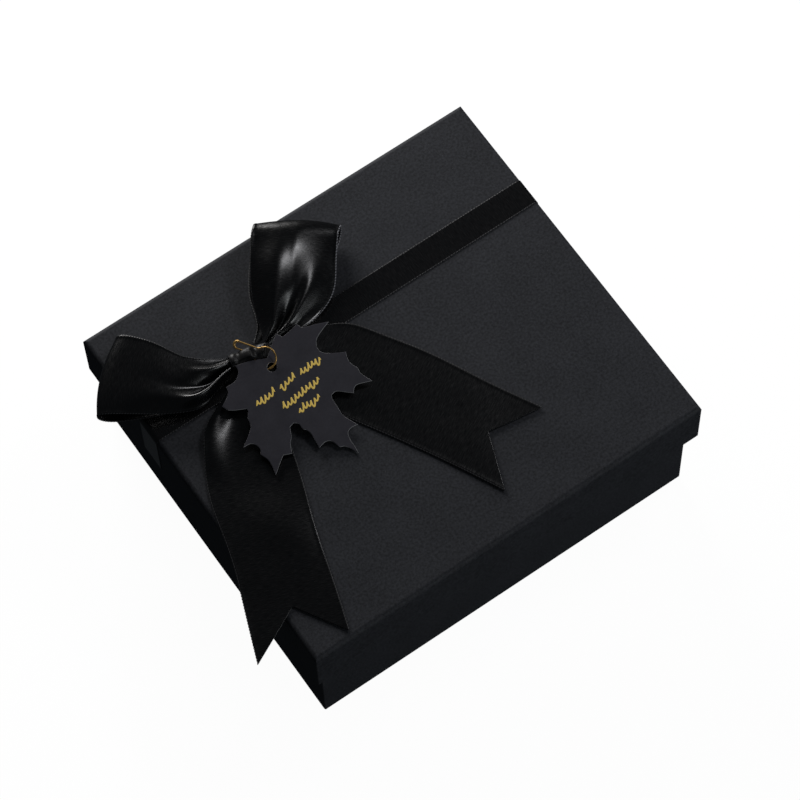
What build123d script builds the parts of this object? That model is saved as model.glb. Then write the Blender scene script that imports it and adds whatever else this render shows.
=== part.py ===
from build123d import *
import math
import os

# ---------------------------------------------------------------- driving dimensions (mm)
LID_X, LID_Y = 200.0, 180.0      # outside of the wrapped lid
TOTAL_H = 78.0                   # table to lid top
SKIRT_H = 29.0                   # how far the lid comes down
BASE_X, BASE_Y = 192.0, 172.0    # outside of the wrapped base
BOARD = 2.5                      # greyboard
PAPER = 0.25                     # wrap and liner paper, with its glue
SHEET = 0.15                     # bottom sheet and the wrap turned under the floor
TAPE = 0.10                      # corner stay tape
TAPE_LEG = 20.0
TURN_IN = 15.0
R_LID = 2.3                      # outside radius of the wrapped edges round the lid's top
R_UP = 0.7                       # outside radius of the upright edges, lid and base
RIM_GAP = 0.10                   # lid liner to base rim

BAND_W, BAND_T = 13.4, 0.30      # narrow satin band
BAND_Y = 37.7                    # its centre line, back from the middle
RIB_T = 0.7                      # wall of the bow's plain solids
BOW_X, BOW_Y = -46.0, 38.6       # middle of the knot

TAG_T = 0.6                      # card
HOLE_R = 2.1
WIRE_R = 0.35

base_top = TOTAL_H - PAPER - BOARD - PAPER - RIM_GAP    # 74.9
lid_low = TOTAL_H - SKIRT_H                             # 49.0

os.makedirs("parts", exist_ok=True)
nodes = {}


def slab(x, y, z0, z1, cx=0.0, cy=0.0):
    """A box x by y, standing from z0 to z1."""
    return Pos(cx, cy, (z0 + z1) / 2) * Box(x, y, z1 - z0)


def upright(part, r):
    return fillet(part.edges().filter_by(Axis.Z), r)


def corners_of(x, y, leg, z0, z1):
    """Four posts that take in the corners of a box x by y."""
    out = None
    for sx in (-1, 1):
        for sy in (-1, 1):
            p = slab(2 * leg, 2 * leg, z0, z1, sx * x / 2, sy * y / 2)
            out = p if out is None else out + p
    return out


# ---------------------------------------------------------------- base tray
bx, by = BASE_X - 2 * PAPER, BASE_Y - 2 * PAPER         # outside of the boards
z_floor = 2 * SHEET                                     # underside of the floor board
z_wall = base_top - PAPER                               # top of the wall boards
core = upright(slab(bx, by, z_floor, z_wall), R_UP - PAPER)
ix, iy = bx - 2 * BOARD, by - 2 * BOARD                 # inside of the boards

front = core & slab(bx, BOARD, z_floor, z_wall, 0, -(by - BOARD) / 2)
back = core & slab(bx, BOARD, z_floor, z_wall, 0, (by - BOARD) / 2)
nodes["base_wall_front"] = front
nodes["base_wall_back"] = back
nodes["base_wall_left"] = slab(BOARD, iy, z_floor, z_wall, -(bx - BOARD) / 2, 0)
nodes["base_wall_right"] = slab(BOARD, iy, z_floor, z_wall, (bx - BOARD) / 2, 0)
nodes["base_floor_board"] = slab(ix, iy, z_floor, z_floor + BOARD)

# stay tapes hold the corners of the walls together, under the wrap
t0, t1 = z_floor + 4.0, z_wall - 4.0
tape_skin = upright(slab(bx + 2 * TAPE, by + 2 * TAPE, t0, t1), R_UP - PAPER + TAPE) - core
base_tapes = tape_skin & corners_of(bx, by, TAPE_LEG, t0, t1)
nodes["base_corner_tapes"] = base_tapes

# wrap paper: outside, over the rim, down the inside, and under the floor
lin_x, lin_y = ix - 2 * PAPER, iy - 2 * PAPER
wrap = upright(slab(BASE_X, BASE_Y, SHEET, base_top), R_UP) - core
wrap -= slab(lin_x, lin_y, z_wall - 1, base_top + 1)
wrap -= slab(BASE_X - 2 * TURN_IN, BASE_Y - 2 * TURN_IN, SHEET - 1, z_floor)
wrap += slab(ix, iy, base_top - TURN_IN, z_wall) - slab(lin_x, lin_y, base_top - TURN_IN, z_wall)
wrap -= base_tapes
nodes["base_wrap"] = wrap

# bottom sheet covers the edges of the wrap and is what the box stands on
nodes["base_bottom_sheet"] = slab(BASE_X - 3.0, BASE_Y - 3.0, 0, SHEET) + slab(
    BASE_X - 2 * TURN_IN, BASE_Y - 2 * TURN_IN, SHEET, z_floor
)
z_lin = z_floor + BOARD
nodes["base_floor_liner"] = slab(ix, iy, z_lin, z_lin + PAPER)
nodes["base_wall_liner"] = slab(ix, iy, z_lin + PAPER, base_top - TURN_IN) - slab(
    lin_x, lin_y, z_lin + PAPER, base_top - TURN_IN
)

# ---------------------------------------------------------------- lid
lx, ly = LID_X - 2 * PAPER, LID_Y - 2 * PAPER
top_z1 = TOTAL_H - PAPER
top_z0 = top_z1 - BOARD


def soft_box(x, y, z0, z1, r, r_up):
    """A box with rounded top edges, mitred at the corners, and crisp upright edges."""
    b = slab(x, y, z0, z1)
    b = fillet(b.edges().group_by(Axis.Z)[-1], r)
    return b & upright(slab(x, y, z0 - 1, z1 + 1), r_up)


lid_core = soft_box(lx, ly, lid_low + PAPER, top_z1, R_LID - PAPER, R_UP - PAPER)
nodes["lid_top_board"] = lid_core & slab(lx, ly, top_z0, top_z1)
nodes["lid_skirt_front"] = lid_core & slab(lx, BOARD, lid_low + PAPER, top_z0, 0, -(ly - BOARD) / 2)
nodes["lid_skirt_back"] = lid_core & slab(lx, BOARD, lid_low + PAPER, top_z0, 0, (ly - BOARD) / 2)
nodes["lid_skirt_left"] = slab(BOARD, ly - 2 * BOARD, lid_low + PAPER, top_z0, -(lx - BOARD) / 2, 0)
nodes["lid_skirt_right"] = slab(BOARD, ly - 2 * BOARD, lid_low + PAPER, top_z0, (lx - BOARD) / 2, 0)

l0, l1 = lid_low + PAPER + 2.0, top_z1 - 4.0
lid_tape_skin = upright(slab(lx + 2 * TAPE, ly + 2 * TAPE, l0, l1), R_UP - PAPER + TAPE)
lid_tape_skin = lid_tape_skin - upright(slab(lx, ly, l0 - 1, l1 + 1), R_UP - PAPER)
lid_tapes = lid_tape_skin & corners_of(lx, ly, TAPE_LEG, l0, l1)
nodes["lid_corner_tapes"] = lid_tapes

lix, liy = lx - 2 * BOARD, ly - 2 * BOARD               # inside of the skirt boards
lin2x, lin2y = lix - 2 * PAPER, liy - 2 * PAPER
lid_wrap = soft_box(LID_X, LID_Y, lid_low, TOTAL_H, R_LID, R_UP) - lid_core
lid_wrap -= slab(lin2x, lin2y, lid_low - 1, lid_low + PAPER)
lid_wrap += slab(lix, liy, lid_low + PAPER, lid_low + TURN_IN) - slab(
    lin2x, lin2y, lid_low + PAPER, lid_low + TURN_IN
)
lid_wrap -= lid_tapes
nodes["lid_wrap"] = lid_wrap
nodes["lid_liner"] = slab(lix, liy, lid_low + TURN_IN, top_z0) - slab(
    lin2x, lin2y, lid_low + TURN_IN - 1, top_z0 - PAPER
)


# ---------------------------------------------------------------- satin band round the lid
def y_edges_top(b):
    return b.edges().filter_by(Axis.Y).group_by(Axis.Z)[-1]


hx = LID_X / 2
b_in = lin2x / 2 - BAND_T
outer = slab(LID_X + 2 * BAND_T, BAND_W, lid_low - BAND_T, TOTAL_H + BAND_T, 0, BAND_Y)
outer = fillet(y_edges_top(outer), R_LID + BAND_T)
inner = slab(LID_X, BAND_W + 4, lid_low, TOTAL_H, 0, BAND_Y)
inner = fillet(y_edges_top(inner), R_LID)
band = outer - inner - slab(2 * b_in, BAND_W + 4, lid_low - 2, lid_low, 0, BAND_Y)
for s in (-1, 1):
    band += slab(BAND_T, BAND_W, lid_low, lid_low + 12, s * (b_in + BAND_T / 2), BAND_Y)
nodes["ribbon_band"] = band

# ---------------------------------------------------------------- safety pin, laid on the knot
# plane of the pin: s runs from its cap to its round end, w across it towards the needle
PIN_O = Vector(-49.9, 46.6, 88.6)
PIN_AZ, PIN_TILT = -56.85, 35.0
pu = Vector(math.cos(math.radians(PIN_AZ)), math.sin(math.radians(PIN_AZ)), 0)
side = Vector(pu.Y, -pu.X, 0)
pv = side * math.cos(math.radians(PIN_TILT)) + Vector(0, 0, -math.sin(math.radians(PIN_TILT)))
pin_plane = Plane(origin=PIN_O, x_dir=pu, z_dir=pu.cross(pv))    # local x = s, local y = w
NEEDLE_W, BACK_W = 1.10, -2.10   # straight sides of the narrow neck
BULB = (15.5, 0.8)
BULB_R = 4.8
NECK_R = 3.0
CAP_S = 2.2
CAP_R = 0.55


def neck(w, sign):
    """Where a straight side at w meets its small reverse arc, and where that meets the bulb."""
    fy = w + sign * NECK_R
    fx = BULB[0] - math.sqrt((BULB_R + NECK_R) ** 2 - (fy - BULB[1]) ** 2)
    k = BULB_R / (BULB_R + NECK_R)
    on = (BULB[0] + (fx - BULB[0]) * k, BULB[1] + (fy - BULB[1]) * k)
    mx, my = (fx + on[0]) / 2 - fx, ((w + on[1]) / 2) - fy
    n = math.hypot(mx, my)
    mid = (fx + mx / n * NECK_R, fy + my / n * NECK_R)
    return (fx, w), mid, on


a0, a1, a2 = neck(BACK_W, -1)
c0, c1, c2 = neck(NEEDLE_W, 1)
path = Wire(
    [
        Edge.make_line((CAP_S, BACK_W), a0),
        Edge.make_three_point_arc(a0, a1, a2),
        Edge.make_three_point_arc(a2, (BULB[0] + BULB_R, BULB[1]), c2),
        Edge.make_three_point_arc(c2, c1, c0),
        Edge.make_line(c0, (CAP_S, NEEDLE_W)),
    ]
)
pin = sweep(Plane(origin=(CAP_S, BACK_W, 0), z_dir=(1, 0, 0)) * Circle(WIRE_R), path=path)
cap_mid = (BACK_W + NEEDLE_W) / 2
cap_r = (NEEDLE_W - BACK_W) / 2
cap_path = Wire([Edge.make_three_point_arc((CAP_S, BACK_W), (CAP_S - cap_r, cap_mid), (CAP_S, NEEDLE_W))])
cap = sweep(Plane(origin=(CAP_S, BACK_W, 0), z_dir=(-1, 0, 0)) * Circle(CAP_R), path=cap_path)
nodes["tag_pin"] = pin_plane * pin
nodes["tag_pin_cap"] = pin_plane * cap

# ---------------------------------------------------------------- bow
HOLE = Vector(-41.7, 28.7, 86.6)      # centre of the punched hole
TAG_TILT = 8.5                       # back edge up
KNOT_ROT = -15.0
pad_z = TOTAL_H + BAND_T
nodes["bow_glue_pad"] = Pos(BOW_X, BOW_Y - 0.6, 0) * (Rot(0, 0, KNOT_ROT) * slab(14, 7, pad_z, pad_z + 0.7))
KNOT_TOP = 89.4
k0 = pad_z + 0.7
knot = slab(20, 8.6, k0, KNOT_TOP)
knot = fillet(knot.edges().filter_by(Axis.Z) + knot.edges().group_by(Axis.Z)[-1], 3.2)
knot = Pos(BOW_X, BOW_Y, 0) * (Rot(0, 0, KNOT_ROT) * knot)
knot_plain = knot
needle_len = c0[0] - CAP_S
channel = Pos(CAP_S + 0.4 + (needle_len) / 2, NEEDLE_W, 0) * (Rot(0, 90, 0) * Cylinder(WIRE_R + 0.06, needle_len + 2))
# the plane's own z points down, so room over the pin is on its negative side
room_bulb = Pos(c0[0] + 10 - 0.4, 0, -4.6) * Box(20, 24, 14)
room_back = Pos(4, -6.4, -3.2) * Box(30, 11.4, 9.0)
knot = knot - pin_plane * channel - pin_plane * room_bulb - pin_plane * room_back
# room for the card, as it lies and as it swings round on the pin
card_room = extrude(
    make_face(Polyline((-17, 10.5), (-13.5, 10.5), (-7, 8.4), (-0.6, 5.8), (3.5, 8.6), (9, 12.6), (14, 12.6), (14, -14), (-17, -14), close=True)),
    amount=12, dir=(0, 0, 1),
)
card_place = Location((HOLE.X, HOLE.Y, HOLE.Z), (TAG_TILT, 0, 0))
for swing in (0.0, 3.0, 6.0, 9.0, 12.0, 15.5):
    knot = knot - card_place * (Rot(0, 0, swing) * (Pos(0, 0, -TAG_T / 2 - 0.4) * card_room))
nodes["bow_knot"] = knot


def plan(points, z0=70.0, z1=110.0):
    """An upright prism on an outline."""
    f = make_face(Polyline(*[(x, y, z0) for x, y in points], close=True))
    return extrude(f, amount=z1 - z0, dir=(0, 0, 1))


def hull2(a_near, z_near, r_near, a_far, z_far, r_far):
    """The outline round two circles, as a face in the a-z plane."""
    dx, dz = a_far - a_near, z_far - z_near
    d = math.hypot(dx, dz)
    base = math.atan2(dz, dx)
    t = math.acos((r_near - r_far) / d)
    pts = {}
    for s in (1, -1):
        ang = base + s * t
        pts[s] = (
            (a_near + r_near * math.cos(ang), z_near + r_near * math.sin(ang)),
            (a_far + r_far * math.cos(ang), z_far + r_far * math.sin(ang)),
        )
    far = (a_far + r_far * math.cos(base), z_far + r_far * math.sin(base))
    near = (a_near - r_near * math.cos(base), z_near - r_near * math.sin(base))
    return make_face(
        [
            Edge.make_line(pts[1][0], pts[1][1]),
            Edge.make_three_point_arc(pts[1][1], far, pts[-1][1]),
            Edge.make_line(pts[-1][1], pts[-1][0]),
            Edge.make_three_point_arc(pts[-1][0], near, pts[1][0]),
        ]
    )


def loop(axis, across, near, far, outline, half=34.0):
    """A hollow ribbon loop: a teardrop ring drawn out across the ribbon, inside a plan outline.
    axis and across are unit vectors in plan; outline is in (along, across) coordinates."""
    ax, ac = Vector(*axis, 0).normalized(), Vector(*across, 0).normalized()
    pl = Plane(origin=(BOW_X, BOW_Y, 0), x_dir=ax, z_dir=ax.cross(Vector(0, 0, 1)))
    ring = hull2(near[0], near[1], near[2], far[0], far[1], far[2])
    hole = hull2(near[0], near[1], near[2] - RIB_T, far[0], far[1], far[2] - RIB_T)
    solids = []
    for f in (ring, hole):
        g = pl * f
        solids.append(extrude(g, amount=half, dir=ac) + extrude(g, amount=half, dir=ac * -1))
    body = solids[0] - solids[1]
    pts = [(BOW_X + ax.X * a + ac.X * e, BOW_Y + ax.Y * a + ac.Y * e) for a, e in outline]
    return body & plan(pts)


T_AX, T_AC = (0.790, 0.613), (0.829, -0.560)
L_AX, L_AC = (-0.906, 0.423), (-0.718, -0.697)
loop_back = loop(
    T_AX, T_AC, (12.5, 81.0, 1.9), (54.2, 87.0, 8.3),
    [(11, -6), (26, -15), (45, -20), (75, -20), (75, 20), (26, 20), (17, 14), (11, 6)],
)
loop_left = loop(
    L_AX, L_AC, (12.5, 81.0, 1.9), (51.0, 86.6, 7.9),
    [(11, -5), (30, -16), (44, -20), (75, -20), (75, 20), (34, 19), (22, 12), (11, 4)],
)
nodes["bow_loop_back"] = loop_back - knot_plain
nodes["bow_loop_left"] = loop_left - knot_plain


def tail(axis, profile, outline):
    """A ribbon tail lying on the lid: a thin strip profile in (along, z), inside a plan outline."""
    ax = Vector(*axis, 0).normalized()
    pl = Plane(origin=(BOW_X, BOW_Y, 0), x_dir=ax, z_dir=ax.cross(Vector(0, 0, 1)))
    strip = extrude(pl * make_face(Polyline(*profile, close=True)), amount=90, both=True)
    return strip & plan(outline)


zt = TOTAL_H + BAND_T + 0.2
ramp = [(3, zt + 3.8), (8.6, zt + 3.0), (14.5, zt), (170, zt), (170, zt + 0.6), (15, zt + 0.6), (9, zt + 3.7), (3, zt + 4.5)]
tail_right = tail(
    (0.585, -0.811), ramp,
    [(-38.5, 36.0), (-20.0, 37.0), (-1.0, 29.0), (45.4, -52.8), (18.1, -46.3), (7.6, -71.1),
     (-25.5, -9.4), (-36.0, 10.0), (-45.0, 32.0)],
)
tail_front = tail(
    (-0.35, -0.937), ramp,
    [(-45.6, 32.0), (-46.0, 12.0), (-55.0, -8.9), (-66.9, -41.5), (-80.7, -85.5), (-93.7, -64.5), (-120.3, -76.7),
     (-99.4, -18.6), (-90.0, 3.0), (-83.0, 18.0), (-66.0, 30.0), (-54.0, 35.5)],
)
nodes["bow_tail_right"] = tail_right - knot_plain - loop_back
nodes["bow_tail_front"] = tail_front - knot_plain - loop_left

# ---------------------------------------------------------------- leaf tag
OUT_DX, OUT_DY = 0.1, -1.55          # the outline's own zero, from the hole
LEAF = [
    (31.7, 5.1), (27.2, 3.5), (23.4, 1.7), (21.3, -0.9), (21.2, -4.2), (23.5, -6.5), (26.8, -8.5), (30.3, -10.2),
    (29.7, -11.4), (29.0, -14.2), (29.4, -16.7), (30.4, -18.7), (30.1, -21.5), (31.1, -24.3), (32.3, -27.1),
    (29.8, -26.2), (25.8, -25.0), (24.0, -25.7), (22.7, -27.3), (20.6, -25.6), (16.9, -22.6), (14.4, -22.7),
    (13.5, -24.4), (13.4, -28.5), (13.2, -32.7), (14.5, -36.2), (16.2, -39.8), (12.8, -39.5), (10.6, -40.7),
    (9.7, -43.9), (9.7, -47.1), (9.3, -50.4), (7.7, -46.9), (6.0, -44.7), (4.1, -43.7), (3.5, -41.5), (2.3, -39.4),
    (0.1, -38.6), (-3.3, -39.4), (-3.0, -35.6), (-2.7, -32.0), (-3.4, -29.9), (-4.5, -28.5), (-4.7, -25.7),
    (-6.3, -24.2), (-8.6, -24.8), (-10.6, -28.9), (-12.2, -30.5), (-14.5, -35.0), (-17.9, -33.6), (-20.9, -35.6),
    (-25.6, -39.2), (-24.6, -34.9), (-24.5, -31.7), (-25.8, -28.1), (-24.7, -26.1), (-25.2, -23.4), (-26.7, -21.8),
    (-30.3, -21.4), (-26.2, -18.7), (-22.8, -15.9), (-21.9, -13.9), (-21.4, -11.6), (-19.7, -9.4), (-19.4, -8.0),
    (-26.1, -4.4), (-27.7, -1.4), (-22.3, 2.1), (-21.4, 4.9), (-16.6, 5.0), (-14.0, 6.9), (-13.0, 8.4),
    (-12.8, 10.7), (-6.2, 8.9), (0.3, 6.0), (2.2, 7.2), (4.4, 9.0), (9.8, 13.1), (11.2, 10.3), (15.2, 10.8),
    (19.5, 11.7), (20.6, 9.4), (23.4, 8.1), (26.5, 7.2),
]
tag_place = Location((HOLE.X, HOLE.Y, HOLE.Z), (TAG_TILT, 0, 0))
leaf = extrude(make_face(Polyline(*[(x + OUT_DX, y + OUT_DY) for x, y in LEAF], close=True)), amount=TAG_T / 2, both=True)
leaf = leaf - Cylinder(HOLE_R, 4)
nodes["leaf_tag"] = tag_place * leaf


def scroll(x0, y0, x1, y1, waves, amp, w, z0, t):
    """A foil flourish: a wavy stroke that swells and thins, from one point to another."""
    n = waves * 12
    L = math.hypot(x1 - x0, y1 - y0)
    dx, dy = (x1 - x0) / L, (y1 - y0) / L
    mid = []
    for i in range(n + 1):
        u = i / n
        s = u * L
        h = amp * math.sin(2 * math.pi * waves * u) * (0.75 + 0.25 * math.cos(2 * math.pi * u))
        mid.append((x0 + dx * s - dy * h, y0 + dy * s + dx * h))
    left, right = [], []
    for i in range(n + 1):
        a, b = mid[max(0, i - 1)], mid[min(n, i + 1)]
        tx, ty = b[0] - a[0], b[1] - a[1]
        m = math.hypot(tx, ty)
        half = w * (0.35 + 0.65 * math.sin(math.pi * i / n)) * (0.75 + 0.25 * math.sin(4 * math.pi * waves * i / n)) / 2
        left.append((mid[i][0] - ty / m * half, mid[i][1] + tx / m * half, z0))
        right.append((mid[i][0] + ty / m * half, mid[i][1] - tx / m * half, z0))
    return extrude(make_face(Polyline(*(left + right[::-1]), close=True)), amount=t, dir=(0, 0, 1))


foil = None
for x0, y0, x1, y1, waves in (
    (-15.2, -8.6, 19.8, -6.6, 6),
    (-6.4, -16.1, 14.2, -13.7, 4),
    (-1.7, -21.2, 9.9, -20.5, 2),
):
    f = scroll(x0 + OUT_DX, y0 + OUT_DY, x1 + OUT_DX, y1 + OUT_DY, waves, 1.5, 0.9, TAG_T / 2, 0.06)
    foil = f if foil is None else foil + f
nodes["tag_foil"] = tag_place * foil

# ---------------------------------------------------------------- one file for each piece
for name, shape in nodes.items():
    export_step(shape, f"parts/{name}.step")
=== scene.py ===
import math

import bmesh
import bpy
import numpy as np
from mathutils import Matrix, Vector, noise


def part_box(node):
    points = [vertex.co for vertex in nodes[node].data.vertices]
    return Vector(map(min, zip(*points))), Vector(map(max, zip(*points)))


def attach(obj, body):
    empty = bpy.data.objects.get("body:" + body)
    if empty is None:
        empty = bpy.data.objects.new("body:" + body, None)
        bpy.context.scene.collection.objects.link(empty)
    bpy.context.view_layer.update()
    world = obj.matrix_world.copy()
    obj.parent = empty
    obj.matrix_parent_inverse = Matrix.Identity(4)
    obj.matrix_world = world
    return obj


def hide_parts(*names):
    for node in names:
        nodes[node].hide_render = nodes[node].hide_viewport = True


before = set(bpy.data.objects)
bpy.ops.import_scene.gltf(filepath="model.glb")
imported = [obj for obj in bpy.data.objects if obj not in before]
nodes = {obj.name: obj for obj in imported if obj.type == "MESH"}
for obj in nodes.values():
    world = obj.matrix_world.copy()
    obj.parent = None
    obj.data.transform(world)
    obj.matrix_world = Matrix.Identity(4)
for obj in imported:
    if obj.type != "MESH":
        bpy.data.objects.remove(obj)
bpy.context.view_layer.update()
MM = 0.001

# ------------------------------------------------------------------ places, from the parts in model.glb
lid_lo, lid_hi = (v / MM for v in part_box("lid_wrap"))
band_lo, band_hi = (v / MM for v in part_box("ribbon_band"))
LID_TOP = lid_hi.z                                     # 78
KNOT = np.array([-46.0, 38.6])                         # middle of the knot, in plan
BAND_Y = (band_lo.y + band_hi.y) / 2
BAND_HALF = (band_hi.y - band_lo.y) / 2
RIBBON = 0.28                                          # thickness of the satin


# ------------------------------------------------------------------ node helpers
class Mat:
    """A node material in short form."""

    def __init__(self, name):
        self.m = bpy.data.materials.new(name)
        self.m.use_nodes = True
        self.t = self.m.node_tree
        self.b = self.t.nodes["Principled BSDF"]
        self.coord = self.t.nodes.new("ShaderNodeTexCoord")

    def set(self, **kw):
        for k, v in kw.items():
            self.b.inputs[k.replace("_", " ")].default_value = v
        return self

    def link(self, a, b):
        self.t.links.new(a, b)

    def scaled(self, src, x, y, z):
        n = self.t.nodes.new("ShaderNodeMapping")
        n.inputs["Scale"].default_value = (x, y, z)
        self.link(src, n.inputs["Vector"])
        return n.outputs["Vector"]

    def noise(self, vec, scale, detail=4.0, rough=0.55, distort=0.0):
        n = self.t.nodes.new("ShaderNodeTexNoise")
        n.inputs["Scale"].default_value = scale
        n.inputs["Detail"].default_value = detail
        n.inputs["Roughness"].default_value = rough
        n.inputs["Distortion"].default_value = distort
        self.link(vec, n.inputs["Vector"])
        return n.outputs["Fac"]

    def voronoi(self, vec, scale, feature="F1"):
        n = self.t.nodes.new("ShaderNodeTexVoronoi")
        n.feature = feature
        n.inputs["Scale"].default_value = scale
        self.link(vec, n.inputs["Vector"])
        return n.outputs["Distance"]

    def wave(self, vec, scale, axis="X", distort=0.0, detail=0.0):
        n = self.t.nodes.new("ShaderNodeTexWave")
        n.bands_direction = axis
        n.inputs["Scale"].default_value = scale
        n.inputs["Distortion"].default_value = distort
        n.inputs["Detail"].default_value = detail
        self.link(vec, n.inputs["Vector"])
        return n.outputs["Fac"]

    def math(self, op, a, b=None, clamp=False):
        n = self.t.nodes.new("ShaderNodeMath")
        n.operation = op
        n.use_clamp = clamp
        for i, v in enumerate((a, b)):
            if v is None:
                continue
            if isinstance(v, (int, float)):
                n.inputs[i].default_value = v
            else:
                self.link(v, n.inputs[i])
        return n.outputs[0]

    def remap(self, fac, a, b, c=0.0, d=1.0, smooth=False):
        n = self.t.nodes.new("ShaderNodeMapRange")
        n.interpolation_type = "SMOOTHSTEP" if smooth else "LINEAR"
        for i, v in zip((1, 2, 3, 4), (a, b, c, d)):
            n.inputs[i].default_value = v
        self.link(fac, n.inputs[0])
        return n.outputs[0]

    def mix(self, fac, a, b):
        n = self.t.nodes.new("ShaderNodeMix")
        n.data_type = "RGBA"
        self.link(fac, n.inputs[0]) if not isinstance(fac, (int, float)) else None
        for i, v in ((6, a), (7, b)):
            if isinstance(v, tuple):
                n.inputs[i].default_value = (*v, 1.0)
            else:
                self.link(v, n.inputs[i])
        return n.outputs[2]

    def bump(self, height, strength, distance, chain=None):
        n = self.t.nodes.new("ShaderNodeBump")
        n.inputs["Strength"].default_value = strength
        n.inputs["Distance"].default_value = distance
        self.link(height, n.inputs["Height"])
        if chain is not None:
            self.link(chain, n.inputs["Normal"])
        return n.outputs["Normal"]

    def split(self, vec):
        n = self.t.nodes.new("ShaderNodeSeparateXYZ")
        self.link(vec, n.inputs[0])
        return n.outputs[0], n.outputs[1], n.outputs[2]

    def to(self, out, name):
        self.link(out, self.b.inputs[name])


def paper(name, low, high, spec, rough, edges=None, speck=0.22, tint_scale=55.0):
    """Uncoated wrap paper: fibre mottle, a fine tooth, rare light specks and rubbed folds."""
    m = Mat(name)
    o = m.coord.outputs["Object"]
    mottle = m.noise(o, 860.0, 6.0, 0.66)
    cloud = m.noise(o, tint_scale, 3.0, 0.5)
    fibre = m.noise(m.scaled(o, 1.0, 2.6, 1.0), 1500.0, 5.0, 0.7, 0.4)
    tone = m.math("ADD", m.math("MULTIPLY", m.remap(mottle, 0.36, 0.64), 0.80), m.math("MULTIPLY", m.remap(cloud, 0.3, 0.7), 0.20))
    col = m.mix(tone, low, high)
    dots = m.voronoi(o, 420.0)
    rare = m.noise(o, 260.0, 1.0, 0.5)
    dot = m.math("MULTIPLY", m.remap(dots, 0.10, 0.05), m.remap(rare, 0.62, 0.66), clamp=True)
    col = m.mix(m.math("MULTIPLY", dot, 0.55), col, (speck, speck, speck * 1.05))
    if edges is not None:
        x, y, z = m.split(o)
        hx, hy, z_fold = edges
        ex = m.remap(m.math("ABSOLUTE", x), hx - 1.6 * MM, hx - 0.2 * MM, smooth=True)
        ey = m.remap(m.math("ABSOLUTE", y), hy - 1.6 * MM, hy - 0.2 * MM, smooth=True)
        ez = m.remap(z, z_fold - 1.6 * MM, z_fold - 0.2 * MM, smooth=True)
        fold = m.math("MAXIMUM", m.math("MULTIPLY", ex, ey), m.math("MAXIMUM", m.math("MULTIPLY", ex, ez), m.math("MULTIPLY", ey, ez)))
        worn = m.math("MULTIPLY", fold, m.remap(m.noise(o, 240.0, 5.0, 0.7), 0.42, 0.72), clamp=True)
        col = m.mix(m.math("MULTIPLY", worn, 0.55), col, (0.16, 0.16, 0.165))
    m.to(col, "Base Color")
    m.to(m.remap(mottle, 0.3, 0.7, rough - 0.06, rough + 0.07), "Roughness")
    n = m.bump(fibre, 0.35, 0.00006)
    n = m.bump(mottle, 0.25, 0.00008, n)
    m.to(n, "Normal")
    m.set(Specular_IOR_Level=spec)
    return m.m


def satin(name, dark, light, rough=0.30, spec=0.55, sheen=0.12):
    """Single-face satin ribbon: long warp floats, weft ribs across it, corded selvedges."""
    m = Mat(name)
    uv = m.coord.outputs["UV"]                          # u along, v across, in metres; v is 0 in the middle
    rib = m.wave(uv, 560.0, "X", 1.4, 2.0)
    weft = m.noise(m.scaled(uv, 2600.0, 300.0, 1.0), 1.0, 4.0, 0.6)
    warp = m.noise(m.scaled(uv, 60.0, 3200.0, 1.0), 1.0, 3.0, 0.6)
    slub = m.noise(m.scaled(uv, 900.0, 90.0, 1.0), 1.0, 2.0, 0.5)
    tone = m.math("ADD", m.math("MULTIPLY", m.remap(weft, 0.3, 0.7), 0.6), m.math("MULTIPLY", m.remap(slub, 0.3, 0.7), 0.4))
    m.to(m.mix(tone, dark, light), "Base Color")
    m.to(m.remap(weft, 0.3, 0.7, rough - 0.07, rough + 0.07), "Roughness")
    n = m.bump(weft, 0.5, 0.00002)
    n = m.bump(rib, 0.3, 0.00001, n)
    n = m.bump(warp, 0.3, 0.00001, n)
    m.to(n, "Normal")
    tan = m.t.nodes.new("ShaderNodeTangent")
    tan.direction_type = "UV_MAP"
    tan.uv_map = "UVMap"
    m.link(tan.outputs[0], m.b.inputs["Tangent"])
    m.set(Specular_IOR_Level=spec, Anisotropic=0.25, Sheen_Weight=sheen, Sheen_Roughness=0.35, IOR=1.52)
    m.b.inputs["Sheen Tint"].default_value = (0.80, 0.80, 0.92, 1.0)
    return m.m


def selvedge(name, lit=(0.060, 0.060, 0.066)):
    """The corded edge of the ribbon: a rope-like stitch, brighter than the satin. Given a bright colour (above 0.1),
    only the right-hand edge (v > 0) takes it as a painted highlight, and the left edge keeps a tenth of the cord tone.
    """
    m = Mat(name)
    uv = m.coord.outputs["UV"]
    cord = m.wave(uv, 450.0, "DIAGONAL", 0.6, 1.0)
    fine = m.noise(m.scaled(uv, 3000.0, 1500.0, 1.0), 1.0, 3.0, 0.6)
    # painted highlight: a bright colour goes on the right-hand edge only, the edge that faces the lamps
    right = m.math("GREATER_THAN", m.split(uv)[1], 0.0) if lit[0] > 0.1 else None
    tone = m.math("MULTIPLY", cord, m.remap(right, 0.0, 1.0, 0.10, 1.0)) if right is not None else cord
    m.to(m.mix(tone, (0.006, 0.006, 0.007), lit), "Base Color")
    m.to(m.remap(fine, 0.3, 0.7, 0.34, 0.52), "Roughness")
    n = m.bump(cord, 0.7, 0.00012)
    n = m.bump(fine, 0.4, 0.00004, n)
    m.to(n, "Normal")
    m.set(Specular_IOR_Level=0.6)
    return m.m


def gold(name, base, rough, scale=900.0, bump=0.25, metallic=1.0):
    m = Mat(name)
    o = m.coord.outputs["Object"]
    a = m.noise(o, scale, 4.0, 0.6)
    c = m.noise(m.scaled(o, 1.0, 1.0, 6.0), scale * 3, 2.0, 0.5)
    m.to(m.mix(m.remap(a, 0.3, 0.7), base, tuple(v * 0.80 for v in base)), "Base Color")
    m.to(m.remap(c, 0.3, 0.7, rough - 0.06, rough + 0.10), "Roughness")
    m.to(m.bump(a, bump, 0.00003), "Normal")
    m.set(Metallic=metallic)
    return m.m


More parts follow.
